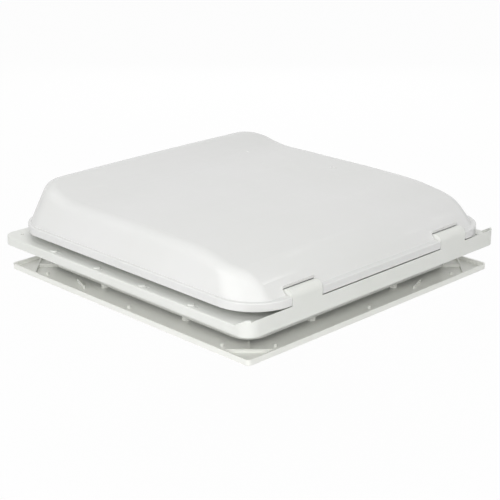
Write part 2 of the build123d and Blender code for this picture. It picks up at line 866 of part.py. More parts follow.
def gearbox_housing():
    y0 = -gearbox_half_width
    y1 = gearbox_half_width
    case = prism_y(gearbox_outline(), y0, y1)
    hollow = offset(gearbox_outline(), amount=-gearbox_wall, kind=Kind.INTERSECTION)
    case -= prism_y(hollow, y0 + gearbox_wall, y1 + overrun)
    shelf_z = gearbox_shelf_height
    shelf = block(gearbox_left, worm_x + worm_pitch_radius, y0, y1, shelf_z - gearbox_wall, shelf_z)
    case += shelf
    for x, z in cover_screw_places():
        case += rod_y(x, z, cover_boss_radius, y0, y1)
    foot_x = neck_inner - gearbox_foot
    foot_half = gearbox_foot_half_width
    neck_x = gearbox_right - gearbox_wall
    case += block(neck_x, neck_inner, y0, y1, gearbox_foot_bottom, gearbox_foot_top)
    case += block(foot_x, neck_inner, -foot_half, foot_half, gearbox_foot_bottom, gearbox_foot_top)
    for y, z in wall_screw_places():
        if abs(y) < foot_half:
            case -= rod_x(y, z, small_screw_radius + screw_gap, gearbox_right, neck_half)
    for x, z in cover_screw_places():
        case -= rod_y(x, z, small_screw_radius - screw_gap, 0, y1 + overrun)
    case -= rod_y(shaft_x, shaft_height, shaft_radius + running_gap, y0 - overrun, y0 + 2 * gearbox_wall)
    shelf_low = shelf_z - gearbox_wall - overrun
    case -= rod_z(worm_x, 0, worm_shaft_radius + running_gap, shelf_low, shelf_z + overrun)
    floor_top = gearbox_bottom + gearbox_wall
    return case - rod_z(worm_x, 0, worm_bush_radius, gearbox_bottom - overrun, floor_top + overrun)


def gearbox_cover():
    y0 = gearbox_half_width
    y1 = gearbox_half_width + gearbox_wall
    cover = prism_y(gearbox_outline(), y0, y1)
    for x, z in cover_screw_places():
        cover -= rod_y(x, z, small_screw_radius + screw_gap, y0 - overrun, y1 + overrun)
    return cover - rod_y(shaft_x, shaft_height, shaft_radius + running_gap, y0 - overrun, y1 + overrun)


def cover_screws():
    radius = small_screw_radius - 2 * screw_gap
    screw = Rot(-90, 0, 0) * pan_screw(radius, cover_screw_length, cover_boss_radius, small_head_height)
    y = gearbox_half_width + gearbox_wall
    return [Pos(x, y, z) * screw for x, z in cover_screw_places()]


def worm_bush():
    """Flanged bush in the floor of the gearbox."""
    floor_top = gearbox_bottom + gearbox_wall
    bush = rod_z(worm_x, 0, worm_bush_radius, gearbox_bottom, floor_top)
    bush += rod_z(worm_x, 0, worm_bush_flange, floor_top, floor_top + overrun)
    bore_low = gearbox_bottom - overrun
    return bush - rod_z(worm_x, 0, worm_shaft_radius + running_gap, bore_low, floor_top + 2 * overrun)


def worm():
    """Worm and its upright shaft in one piece. A crest faces the sector at mid height."""
    lean = math.tan(math.radians(flank_angle))
    half = gear_pitch / 4 - tooth_play / 2
    root = worm_root - overrun / 2
    root_half = half + (worm_pitch_radius - root) * lean
    tip_half = half - (worm_outer - worm_pitch_radius) * lean
    helix = Helix(gear_pitch, 2 * worm_half_length, root)
    tip = worm_outer - root
    profile = Polygon((0, -root_half), (tip, -tip_half), (tip, tip_half), (0, root_half), align=None)
    start = Plane(origin=(root, 0, 0), x_dir=(1, 0, 0), z_dir=(0, -1, 0)) * profile
    thread = sweep(start, path=helix, is_frenet=True)
    turns = 2 * worm_half_length / gear_pitch
    phase = (turns / 2) * 360
    thread = Pos(0, 0, -worm_half_length) * Rot(0, 0, -phase) * thread
    core = Cylinder(worm_root, 2 * (worm_half_length + worm_end))
    body = Pos(worm_x, 0, shaft_height) * (core + thread)
    knob_low = trim_top - knob_gap - knob_thickness + knob_hub_recess
    body += rod_z(worm_x, 0, worm_shaft_radius, knob_low, gearbox_shelf_height + overrun)
    tap_top = knob_low + knob_screw_length
    return body - rod_z(worm_x, 0, small_screw_radius + screw_gap, knob_low - overrun, tap_top)


# Ceiling frame: tray, trim wall, corner ribs and the panel over the gearbox
def corner_rib():
    """Rib across one corner of the tray, with a short rib from it to the trim."""
    edge = frame_half - lip_width / 2
    leg = corner_rib_leg
    length = math.hypot(leg, leg)
    middle = edge - leg / 2
    z0 = tray_top - overrun / 2
    height = rib_top - z0
    z_middle = z0 + height / 2
    across = Pos(middle, middle, z_middle) * Rot(0, 0, 135) * Box(length, rib_thickness, height)
    trim_corner = trim_half_width - trim_radius * (1 - math.sqrt(1 / 2))
    spoke_middle = (middle + trim_corner) / 2
    spoke_length = math.hypot(middle - trim_corner, middle - trim_corner) + wall
    spoke = Pos(spoke_middle, spoke_middle, z_middle) * Rot(0, 0, 45)
    return across + spoke * Box(spoke_length, rib_thickness, height)


def side_ribs(end):
    """One slanted rib, towards the given end of a side of the tray, and the side's moulding pins."""
    z0 = tray_top - overrun / 2
    height = rib_top - z0
    length = math.hypot(side_rib_run, side_rib_rise)
    angle = math.degrees(math.atan2(side_rib_rise, side_rib_run))
    middle_x = side_rib_reach - side_rib_run / 2
    middle_y = frame_half - side_rib_inset + side_rib_rise / 2
    rib = Rot(0, 0, -end * angle) * Box(length, rib_thickness, height)
    parts = [Pos(end * middle_x, middle_y, z0 + height / 2) * rib]
    for x in (-pin_post_spread, 0, pin_post_spread):
        parts.append(rod_z(x, frame_half - pin_post_inset, pin_post_radius, z0, rib_top))
    return parts


def screen_lug(y):
    """Hinge lug on the panel wall for the flyscreen."""
    y0 = y - screen_lug_width / 2
    y1 = y + screen_lug_width / 2
    lug = rod_y(screen_hinge_x, screen_hinge_z, screen_barrel_radius, y0, y1)
    z0 = screen_hinge_z - screen_barrel_radius
    lug += block(screen_hinge_x, panel_edge, y0, y1, z0, screen_hinge_z + screen_barrel_radius)
    return lug


def ceiling_frame():
    frame = square(frame_half, frame_radius, frame_bottom, lip_top)
    frame -= square(frame_half - lip_width, frame_radius - lip_width, tray_top, lip_top + overrun)
    frame += square(trim_half_width, trim_radius, frame_bottom, trim_top)
    for turn in range(4):
        frame += Rot(0, 0, 90 * turn) * corner_rib()
        rib_end = 1 - 2 * (turn % 2)
        for part in side_ribs(rib_end):
            frame += Rot(0, 0, 90 * turn) * part
    frame -= square(trim_inner, trim_radius - wall, frame_bottom - overrun, trim_top + overrun)
    panel = square(trim_half_width, trim_radius, trim_top - overrun, panel_top)
    panel &= block(panel_edge - wall, trim_half_width, -trim_half_width, trim_half_width, trim_top, panel_top)
    wall_half = trim_inner + overrun
    edge_wall = block(panel_edge - wall, panel_edge, -wall_half, wall_half, frame_bottom, panel_top)
    frame += panel
    frame += edge_wall
    for y in (-screen_lug_spread, 0, screen_lug_spread):
        frame += screen_lug(y)
    frame -= rod_y(screen_hinge_x, screen_hinge_z, screen_pin_radius + running_gap, -trim_inner, trim_inner)
    for side in (-1, 1):
        frame += strike_lug(side * magnet_spread)
    for x, y in frame_screw_places():
        frame += rod_z(x, y, frame_boss_radius, frame_bottom, -neck_depth)
    for x, y in frame_screw_places():
        frame -= rod_z(x, y, screw_radius + screw_gap, frame_bottom - overrun, -neck_depth + overrun)
        frame -= rod_z(x, y, counterbore_radius, frame_bottom - overrun, frame_bottom + frame_boss_recess)
    return frame - rod_z(worm_x, 0, worm_bush_flange, trim_top - overrun, panel_top + overrun)


def strike_lug(y):
    """Small shelf over the screen's free edge that holds a strike plate."""
    z0 = screen_top + loose_gap + strike_thickness
    half = strike_size / 2 + overrun
    x1 = -trim_inner + strike_size + overrun
    return block(-trim_inner - overrun, x1, y - half, y + half, z0, z0 + strike_lug_height)


def strike_plates():
    z0 = screen_top + loose_gap
    x0 = -trim_inner + loose_gap
    half = strike_size / 2
    plates = []
    for y in (-magnet_spread, magnet_spread):
        plates.append(block(x0, x0 + strike_size, y - half, y + half, z0, z0 + strike_thickness))
    return plates


def frame_screws():
    seat = frame_bottom + frame_boss_recess
    length = -neck_depth + boss_height - wall - overrun - seat
    screw = Rot(180, 0, 0) * pan_screw(screw_radius, length, screw_head_radius, screw_head_height)
    return [Pos(x, y, seat) * screw for x, y in frame_screw_places()]


def frame_plugs():
    """Flat plugs that hide the ceiling frame's screws."""
    z0 = frame_bottom + loose_gap
    return [rod_z(x, y, plug_radius, z0, z0 + plug_thickness) for x, y in frame_screw_places()]


# Hand knob with its finger grip
def knob_levels():
    top = trim_top - knob_gap
    return top - knob_thickness, top


def hand_knob():
    low, top = knob_levels()
    knob = rod_z(worm_x, 0, knob_radius, low, top)
    for index in range(knob_flutes):
        angle = 2 * math.pi * index / knob_flutes
        x = worm_x + knob_radius * math.cos(angle)
        y = knob_radius * math.sin(angle)
        knob -= rod_z(x, y, knob_flute_radius, low - overrun, top + overrun)
    knob = chamfer(knob.edges().group_by(Axis.Z)[0], knob_round / 2)
    knob -= rod_z(worm_x, 0, worm_shaft_radius + running_gap, low + knob_hub_recess, top + overrun)
    knob -= rod_z(worm_x, 0, small_screw_radius + screw_gap, low - overrun, top + overrun)
    knob -= rod_z(worm_x, 0, small_head_radius + screw_gap, low - overrun, low + small_head_height)
    return knob - rod_z(worm_x - grip_offset, 0, grip_pin_radius, low - overrun, top + overrun)


def knob_screw():
    low, top = knob_levels()
    screw = pan_screw(small_screw_radius, knob_screw_length, small_head_radius, small_head_height)
    return Pos(worm_x, 0, low + small_head_height) * Rot(180, 0, 0) * screw


def grip_pin():
    low, top = knob_levels()
    end = low - loose_gap - grip_length - loose_gap - grip_pin_head
    pin = rod_z(worm_x - grip_offset, 0, grip_pin_radius, end, top)
    return pin + rod_z(worm_x - grip_offset, 0, grip_pin_head_radius, end, end + grip_pin_head)


def finger_grip():
    low, top = knob_levels()
    z1 = low - loose_gap
    grip = rod_z(worm_x - grip_offset, 0, grip_radius, z1 - grip_length, z1)
    grip = fillet(grip.edges().group_by(Axis.Z)[0], grip_round)
    bore_low = z1 - grip_length - overrun
    return grip - rod_z(worm_x - grip_offset, 0, grip_pin_radius + running_gap, bore_low, z1 + overrun)


# Flyscreen
def screen_frame():
    low = -trim_inner + screen_gap
    half = trim_inner - screen_gap
    high = screen_hinge_x
    frame = plate(low, high, half, screen_radius, screen_bottom, screen_top)
    z0 = screen_bottom - overrun
    z1 = screen_top + overrun
    frame -= plate(low + screen_bar, high - screen_bar, half - screen_bar, wall, z0, z1)
    reach = half - screen_radius
    frame += rod_y(high, screen_hinge_z, screen_barrel_radius - running_gap, -reach, reach)
    frame &= plate(low, high + screen_bar, half, wall, screen_bottom, screen_top)
    lip = net_overlap + loose_gap
    net_low = low + screen_bar - lip
    net_high = high - screen_bar + lip
    frame -= plate(net_low, net_high, half - screen_bar + lip, wall + lip, screen_top - net_thickness, z1)
    for y in (-screen_lug_spread, 0, screen_lug_spread):
        gap = screen_lug_width / 2 + loose_gap
        clear = screen_barrel_radius + screen_gap
        frame -= block(high - clear, high + clear, y - gap, y + gap, z0, z1)
    frame -= rod_y(high, screen_hinge_z, screen_pin_radius + running_gap, -trim_inner, trim_inner)
    for x, y in magnet_places():
        frame -= rod_z(x, y, magnet_radius + screw_gap, screen_top - magnet_depth, z1)
    return frame


def magnet_places():
    x = -trim_inner + screen_gap + magnet_radius + overrun
    return [(x, side * magnet_spread) for side in (-1, 1)]


def screen_net():
    low = -trim_inner + screen_gap + screen_bar - net_overlap
    high = screen_hinge_x - screen_bar + net_overlap
    half = trim_inner - screen_gap - screen_bar + net_overlap
    return plate(low, high, half, wall + net_overlap, screen_top - net_thickness, screen_top)


def screen_pins():
    pins = []
    for y in (-screen_lug_spread, 0, screen_lug_spread):
        half = screen_pin_length / 2
        pins.append(rod_y(screen_hinge_x, screen_hinge_z, screen_pin_radius, y - half, y + half))
    return pins


def catch_magnets():
    low = screen_top - magnet_depth
    return [rod_z(x, y, magnet_radius, low, screen_top) for x, y in magnet_places()]


def hinge_pins():
    y0 = hinge_spread - hinge_pin_half
    y1 = hinge_spread + hinge_pin_half
    return both_sides(rod_y(hinge_x, hinge_height, hinge_pin_radius, y0, y1))


os.makedirs("parts", exist_ok=True)

singles = [
    roof_frame, roof_gasket, dome_lid, lid_ring, lid_seal, cross_shaft, sector_gear, gearbox_housing,
    gearbox_cover, worm_bush, worm, hand_knob, knob_screw, grip_pin, finger_grip, ceiling_frame,
    screen_frame, screen_net,
]
groups = [
    hinge_pins, ring_screws, rail_screws, cross_pins, shoe_pins, shaft_bushes, shaft_clips, wall_screws,
    cover_screws, frame_screws, frame_plugs, strike_plates, screen_pins, catch_magnets,
]
pairs = [guide_rail, slide_shoe, lift_arm, shaft_bracket]

for make in singles:
    save(make.__name__, make())
for make in groups:
    save(make.__name__, group(make()))
for make in pairs:
    left, right = both_sides(make())
    save(f"{make.__name__}_left", left)
    save(f"{make.__name__}_right", right)
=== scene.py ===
# %% [markdown]
# # A caravan roof vent, dressed for the camera
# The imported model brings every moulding, pin and screw at its real size. This script
# gives each of them its finish, models the few parts that a solid can't show well
# (the soft seals and the woven net), and sets up the studio.
# Everything is in metres. Up is +Z, and the lid's hinges lie on the +X side.

import json
import math

import bpy
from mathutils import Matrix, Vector


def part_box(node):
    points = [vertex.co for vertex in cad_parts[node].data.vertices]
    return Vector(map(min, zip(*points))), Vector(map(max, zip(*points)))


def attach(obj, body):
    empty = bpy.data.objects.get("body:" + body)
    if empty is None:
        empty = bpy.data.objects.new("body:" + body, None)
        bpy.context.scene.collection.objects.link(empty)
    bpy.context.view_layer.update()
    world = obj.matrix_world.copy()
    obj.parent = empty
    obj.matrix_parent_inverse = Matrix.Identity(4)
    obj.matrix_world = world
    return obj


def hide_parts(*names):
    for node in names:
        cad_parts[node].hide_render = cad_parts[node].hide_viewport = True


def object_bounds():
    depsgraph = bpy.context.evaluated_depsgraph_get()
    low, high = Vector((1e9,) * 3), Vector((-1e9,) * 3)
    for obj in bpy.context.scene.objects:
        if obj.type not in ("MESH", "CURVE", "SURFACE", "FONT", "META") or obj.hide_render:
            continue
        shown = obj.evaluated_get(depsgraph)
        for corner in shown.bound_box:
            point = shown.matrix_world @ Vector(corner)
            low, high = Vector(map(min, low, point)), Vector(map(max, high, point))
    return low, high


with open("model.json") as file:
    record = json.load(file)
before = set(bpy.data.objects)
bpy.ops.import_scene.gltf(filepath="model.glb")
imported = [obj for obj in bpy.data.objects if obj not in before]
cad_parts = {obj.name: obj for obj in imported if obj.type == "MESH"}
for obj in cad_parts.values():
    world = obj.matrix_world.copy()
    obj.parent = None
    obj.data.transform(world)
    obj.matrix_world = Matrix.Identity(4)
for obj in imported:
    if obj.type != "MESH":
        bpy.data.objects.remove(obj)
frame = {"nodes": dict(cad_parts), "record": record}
cad_low, cad_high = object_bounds()
MM = 0.001
print("height in mm:", round((cad_high.z - cad_low.z) / MM, 1))

# %% [markdown]
# ## Node maths that reads like Python
# A material, and a Geometry Nodes recipe too, is a small program drawn as boxes and
# wires. Placing each box by hand is slow to read, so one class wraps a socket and lets
# +, -, * and / add the Math nodes. A second class holds the tree and adds any other
# node by its type.

# %% A socket that can be used in sums
class Wire:
    """One output socket, with the operators that add Math nodes."""

    def __init__(self, tree, socket):
        self.tree = tree
        self.socket = socket

    def math(self, operation, *others, swap=False):
        node = self.tree.nodes.new("ShaderNodeMath")
        node.operation = operation
        values = [self, *others]
        if swap:
            values.reverse()
        for slot, value in zip(node.inputs, values):
            connect(self.tree, slot, value)
        return Wire(self.tree, node.outputs[0])

    def __add__(self, other):
        return self.math("ADD", other)

    def __sub__(self, other):
        return self.math("SUBTRACT", other)

    def __rsub__(self, other):
        return self.math("SUBTRACT", other, swap=True)

    def __mul__(self, other):
        return self.math("MULTIPLY", other)

    def __truediv__(self, other):
        return self.math("DIVIDE", other)

    __radd__ = __add__
    __rmul__ = __mul__

    def above(self, low, high):
        """0 below low, 1 above high, and a straight ramp between."""
        clamped = (self - low) / (high - low)
        return clamped.math("MAXIMUM", 0.0).math("MINIMUM", 1.0)


def connect(tree, slot, value):
    """Link a wire to a socket, or set the socket to a constant."""
    if isinstance(value, Wire):
        tree.links.new(value.socket, slot)
        return
    if hasattr(slot.default_value, "__len__") and not hasattr(value, "__len__"):
        value = [value] * len(slot.default_value)
    if slot.type == "RGBA" and len(value) == 3:
        value = [*value, 1.0]
    slot.default_value = value


# %% Any tree of nodes
class Nodes:
    """A node tree that grows by one call for each node."""

    def __init__(self, tree):
        self.tree = tree
        self.tree.nodes.clear()

    def add(self, kind, settings=None, values=None, out=0):
        """Add one node: its settings first, then its sockets, and return one output."""
        node = self.tree.nodes.new(kind)
        for name, setting in (settings or {}).items():
            setattr(node, name, setting)
        for name, value in (values or {}).items():
            connect(self.tree, node.inputs[name], value)
        if not node.outputs:
            return None
        return Wire(self.tree, node.outputs[out])


# %% A material under construction
class Finish(Nodes):
    """A node material. Its patterns read Object coordinates, in metres."""

    def __init__(self, name):
        self.material = bpy.data.materials.new(name)
        self.material.use_nodes = True
        super().__init__(self.material.node_tree)
        self.place = self.add("ShaderNodeTexCoord", out="Object")

    def stretched(self, scale):
        """Coordinates scaled along each axis, for brushed or drawn patterns."""
        return self.add("ShaderNodeMapping", values={"Vector": self.place, "Scale": scale})

    def noise(self, scale, detail=2.0, rough=0.5, place=None):
        values = {"Vector": place or self.place, "Scale": scale, "Detail": detail, "Roughness": rough}
        return self.add("ShaderNodeTexNoise", values=values)

    def cells(self, scale):
        """Distance to the middle of the nearest cell."""
        values = {"Vector": self.place, "Scale": scale}
        return self.add("ShaderNodeTexVoronoi", values=values, out="Distance")

    def mixed(self, first, second, amount):
        """A colour between two colours."""
        values = {"Factor": amount, 6: first, 7: second}
        return self.add("ShaderNodeMix", {"data_type": "RGBA"}, values, out=2)

    def bump(self, height, depth):
        """A normal for a height of 0 to 1 that stands that deep in metres."""
        values = {"Height": height, "Distance": depth, "Strength": 1.0}
        return self.add("ShaderNodeBump", values=values)

    def finish(self, **sockets):
        """Close the material with one Principled shader."""
        values = {name.replace("_", " "): value for name, value in sockets.items()}
        shader = self.add("ShaderNodeBsdfPrincipled", values=values)
        self.add("ShaderNodeOutputMaterial", values={"Surface": shader})
        return self.material


# %% [markdown]
# ## White moulded plastic
# The lid is a glossy moulding. Up close such a skin is never quite even: the tool's
# polish leaves a faint orange peel, handling leaves duller patches, and dust sits in
# it as tiny specks. The frame is nearly the same white but satin, from a blasted tool,
# so its grain is finer and deeper and its gloss lower. One function with a few inputs
# gives them all, because the plastics differ in amounts and not in kind.

# %% White plastic
def white_plastic(name, colour, shade, dullness, grain_size, grain_depth):
    """Moulded plastic: slow tint changes, dust, handling marks and a fine grain."""
    skin = Finish(name)
    slow = skin.noise(7.0, 3.0)
    tint = skin.mixed(colour, shade, slow.above(0.35, 0.75))
    dust = skin.noise(900.0, 2.0, 0.7).above(0.70, 0.78)
    dusty = skin.noise(16.0, 4.0).above(0.45, 0.8)
    speck = [0.9 * channel for channel in shade]
    base = skin.mixed(tint, speck, dust * dusty * 0.5)
    handled = skin.noise(28.0, 5.0, 0.6).above(0.5, 0.85)
    roughness = handled * 0.12 + dust * 0.1 + dullness
    peel = skin.noise(1.0 / grain_size, 2.0, 0.6)
    wave = skin.noise(22.0, 1.0)
    normal = skin.bump(peel * 0.8 + wave * 0.2, grain_depth)
    return skin.finish(
        Base_Color=base,
        Roughness=roughness,
        Normal=normal,
        IOR=1.49,
    )


def dome_plastic():
    return white_plastic(
        "dome_plastic", colour=(0.78, 0.78, 0.775), shade=(0.755, 0.76, 0.745),
        dullness=0.20, grain_size=0.0016, grain_depth=0.00002,
    )


def frame_plastic():
    return white_plastic(
        "frame_plastic", colour=(0.80, 0.81, 0.78), shade=(0.775, 0.79, 0.75),
        dullness=0.32, grain_size=0.0009, grain_depth=0.00004,
    )


def ceiling_plastic():
    return white_plastic(
        "ceiling_plastic", colour=(0.87, 0.875, 0.835), shade=(0.845, 0.855, 0.81),
        dullness=0.30, grain_size=0.0011, grain_depth=0.00005,
    )


def screen_plastic():
    return white_plastic(
        "screen_plastic", colour=(0.76, 0.765, 0.74), shade=(0.73, 0.74, 0.71),
        dullness=0.38, grain_size=0.0009, grain_depth=0.00004,
    )


# %% [markdown]
# ## The plastics of the works
# Inside, the parts are plainer: a grey filled plastic for what carries load, natural
# cream acetal for what slides, and a darker grey for the knob.

# %% Engineering plastics
def filled_plastic(name, colour, dullness, fleck):
    """Glass-filled plastic: short pale fibres show as flecks in a matt skin."""
    skin = Finish(name)
    fibres = skin.noise(1.0, 3.0, 0.7, skin.stretched((900.0, 2600.0, 900.0)))
    flecks = fibres.above(0.55, 0.75)
    cloud = skin.noise(30.0, 3.0).above(0.3, 0.8)
    darker = [0.86 * channel for channel in colour]
    paler = [min(1.0, fleck * channel) for channel in colour]
    base = skin.mixed(skin.mixed(colour, darker, cloud), paler, flecks * 0.6)
    grain = skin.noise(1400.0, 2.0)
    return skin.finish(
        Base_Color=base,
        Roughness=cloud * 0.1 + flecks * 0.05 + dullness,
        Normal=skin.bump(grain, 0.00005),
    )


def mechanism_plastic():
    return filled_plastic("mechanism_plastic", (0.47, 0.48, 0.475), dullness=0.5, fleck=1.2)


def gear_plastic():
    return filled_plastic("gear_plastic", (0.70, 0.68, 0.61), dullness=0.34, fleck=1.05)


def knob_plastic():
    return filled_plastic("knob_plastic", (0.25, 0.26, 0.27), dullness=0.42, fleck=1.3)


# %% [markdown]
# ## Metals
# Drawn aluminium carries fine lines along its length, so its noise is stretched in X.
# Zinc plate is a patchwork of faint crystals. Turned brass has rings, but at this
# size a tight stretched noise reads the same.

# %% Metals
def rail_aluminium():
    skin = Finish("rail_aluminium")
    lines = skin.noise(1.0, 4.0, 0.7, skin.stretched((6.0, 2400.0, 2400.0)))
    smears = skin.noise(40.0, 3.0).above(0.4, 0.8)
    base = skin.mixed((0.80, 0.80, 0.81), (0.66, 0.67, 0.68), smears * 0.6)
    return skin.finish(
        Base_Color=base,
        Metallic=1.0,
        Roughness=lines * 0.22 + smears * 0.08 + 0.18,
        Normal=skin.bump(lines, 0.00003),
    )


def steel():
    skin = Finish("steel")
    crystals = skin.cells(420.0)
    grime = skin.noise(160.0, 4.0).above(0.5, 0.8)
    plate = skin.mixed((0.66, 0.67, 0.69), (0.54, 0.55, 0.58), crystals.above(0.1, 0.7))
    base = skin.mixed(plate, (0.30, 0.28, 0.25), grime * 0.35)
    fine = skin.noise(2600.0, 2.0)
    return skin.finish(
        Base_Color=base,
        Metallic=1.0,
        Roughness=crystals * 0.18 + grime * 0.2 + 0.2,
        Normal=skin.bump(fine, 0.00002),
    )


def brass():
    skin = Finish("brass")
    rings = skin.noise(1.0, 3.0, 0.6, skin.stretched((300.0, 4000.0, 300.0)))
    stain = skin.noise(300.0, 3.0).above(0.45, 0.8)
    base = skin.mixed((0.75, 0.58, 0.30), (0.48, 0.34, 0.16), stain * 0.6)
    return skin.finish(
        Base_Color=base,
        Metallic=1.0,
        Roughness=rings * 0.2 + stain * 0.15 + 0.2,
        Normal=skin.bump(rings, 0.00002),
    )


def magnet():
    skin = Finish("magnet")
    chips = skin.cells(700.0).above(0.05, 0.5)
    base = skin.mixed((0.30, 0.30, 0.31), (0.42, 0.42, 0.43), chips)
    return skin.finish(Base_Color=base, Metallic=0.8, Roughness=chips * 0.15 + 0.3)


# %% [markdown]
# ## Rubber, foam and net
# Rubber picks up a pale bloom. Foam is a skin full of burst bubbles, which cells
# give. The net's strands are real geometry, so their finish only needs a soft sheen.

# %% Soft finishes
def seal_rubber():
    skin = Finish("seal_rubber")
    bloom = skin.noise(60.0, 5.0, 0.6).above(0.45, 0.8)
    base = skin.mixed((0.028, 0.028, 0.030), (0.10, 0.10, 0.10), bloom * 0.7)
    grain = skin.noise(2200.0, 2.0)
    return skin.finish(
        Base_Color=base,
        Roughness=bloom * 0.2 + 0.52,
        Normal=skin.bump(grain, 0.00004),
    )


def foam():
    skin = Finish("foam")
    bubbles = skin.cells(640.0)
    tone = skin.noise(45.0, 3.0)
    base = skin.mixed((0.72, 0.72, 0.69), (0.62, 0.62, 0.59), tone.above(0.35, 0.75))
    return skin.finish(
        Base_Color=base,
        Roughness=tone * 0.1 + 0.8,
        Normal=skin.bump(bubbles, 0.0005),
    )


def net_mesh():
    skin = Finish("net_mesh")
    tone = skin.noise(90.0, 3.0).above(0.35, 0.75)
    base = skin.mixed((0.20, 0.21, 0.22), (0.27, 0.28, 0.29), tone)
    return skin.finish(Base_Color=base, Roughness=tone * 0.15 + 0.45)


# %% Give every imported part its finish
makers = [
    dome_plastic, frame_plastic, ceiling_plastic, screen_plastic, mechanism_plastic,
    gear_plastic, knob_plastic, rail_aluminium, steel, brass, magnet, seal_rubber,
    foam, net_mesh,
]
finishes = {make.__name__: make() for make in makers}


def dress(piece, slot):
    """Replace whatever material a mesh has by the slot's finish."""
    piece.data.materials.clear()
    piece.data.materials.append(finishes[slot])


for entry in frame["record"]["subparts"]:
    dress(frame["nodes"][entry["node"]], entry["material_slot"])
print("finishes:", sorted(finishes))

# %% [markdown]
# ## Recipes for Geometry Nodes
# What repeats or follows a path is grown by a recipe: a Geometry Nodes tree with named
# inputs. The modifier's inputs are set by their identifiers, the result is taken as a
# plain mesh, and the modifier goes, so what is left is an ordinary piece.

# %% A recipe and what it grows
class Recipe(Nodes):
    """A Geometry Nodes tree that ends in Realize Instances and Set Material."""

    def __init__(self, name, **inputs):
        super().__init__(bpy.data.node_groups.new(name, "GeometryNodeTree"))
        kinds = {float: "Float", bpy.types.Material: "Material", Vector: "Vector"}
        self.tree.interface.new_socket("Shape", in_out="INPUT", socket_type="NodeSocketGeometry")
        for label, kind in inputs.items():
            self.tree.interface.new_socket(label, in_out="INPUT", socket_type=f"NodeSocket{kinds[kind]}")
        self.tree.interface.new_socket("Shape", in_out="OUTPUT", socket_type="NodeSocketGeometry")
        self.entry = self.tree.nodes.new("NodeGroupInput")

    def given(self, label):
        return Wire(self.tree, self.entry.outputs[label])

    def close(self, shape):
        solid = self.add("GeometryNodeRealizeInstances", values={"Geometry": shape})
        painted = {"Geometry": solid, "Material": self.given("material")}
        whole = self.add("GeometryNodeSetMaterial", values=painted)
        self.add("NodeGroupOutput", values={"Shape": whole})


def grow(name, recipe, start, slot, **values):
    """Run a recipe on a starting mesh and keep the result as a plain piece."""
    piece = bpy.data.objects.new(name, start or bpy.data.meshes.new(name))
    bpy.context.scene.collection.objects.link(piece)
    modifier = piece.modifiers.new("recipe", "NODES")
    modifier.node_group = recipe.tree
    values["material"] = finishes[slot]
    for item in recipe.tree.interface.items_tree:
        if item.in_out == "INPUT" and item.name in values:
            modifier[item.identifier] = values[item.name]
    graph = bpy.context.evaluated_depsgraph_get()
    plain = bpy.data.meshes.new_from_object(piece.evaluated_get(graph), depsgraph=graph)
    piece.modifiers.clear()
    piece.data = plain
    print(name, "has", len(plain.polygons), "faces")
    return piece


# %% [markdown]
# ## The flyscreen's net
# The net is a plain weave: each yarn goes over one and under the next. A row of points
# with every second one lifted makes one yarn, and a line of such yarns, every second
# one moved along by one pitch, makes the warp. The weft is the same recipe turned by a
# quarter with its lift reversed, so the two sets miss each other at every crossing.

# %% Weave the net
NET_PITCH = 2.0 * MM
YARN_RADIUS = 0.15 * MM
YARN_SIDES = 3


def woven_yarns():
    recipe = Recipe(
        "woven_yarns", run=float, across=float, pitch=float, lift=float, yarn=float,
        turn=Vector, middle=Vector, material=bpy.types.Material,
    )
    run = recipe.given("run")
    pitch = recipe.given("pitch")
    start = recipe.add("ShaderNodeCombineXYZ", values={"X": run * -0.5})
    end = recipe.add("ShaderNodeCombineXYZ", values={"X": run * 0.5})
    line = recipe.add("GeometryNodeCurvePrimitiveLine", values={"Start": start, "End": end})
    count = (run / pitch).math("ROUND") + 1.0
    line = recipe.add("GeometryNodeResampleCurve", values={"Curve": line, "Count": count})
    place = recipe.add("GeometryNodeInputIndex")
    wave = (place * math.pi).math("COSINE") * recipe.given("lift")
    lifted = recipe.add("ShaderNodeCombineXYZ", values={"Z": wave})
    line = recipe.add("GeometryNodeSetPosition", values={"Geometry": line, "Offset": lifted})
    ring = {"Resolution": YARN_SIDES, "Radius": recipe.given("yarn")}
    profile = recipe.add("GeometryNodeCurvePrimitiveCircle", values=ring)
    tube = {"Curve": line, "Profile Curve": profile, "Fill Caps": True}
    yarn = recipe.add("GeometryNodeCurveToMesh", values=tube)
    across = recipe.given("across")
    first = recipe.add("ShaderNodeCombineXYZ", values={"Y": across * -0.5})
    step = recipe.add("ShaderNodeCombineXYZ", values={"Y": pitch})
    row = {"Count": (across / pitch).math("ROUND") + 1.0, "Start Location": first, "Offset": step}
    rows = recipe.add("GeometryNodeMeshLine", values=row)
    odd = recipe.add("ShaderNodeCombineXYZ", values={"X": place.math("MODULO", 2.0) * pitch})
    rows = recipe.add("GeometryNodeSetPosition", values={"Geometry": rows, "Offset": odd})
    cloth = recipe.add("GeometryNodeInstanceOnPoints", values={"Points": rows, "Instance": yarn})
    turned = {"Geometry": cloth, "Rotation": recipe.given("turn"), "Translation": recipe.given("middle")}
    recipe.close(recipe.add("GeometryNodeTransform", values=turned))
    return recipe


def even_pitches(length):
    """The longest run of an even number of pitches that fits the length."""
    return 2 * int(length / NET_PITCH / 2) * NET_PITCH


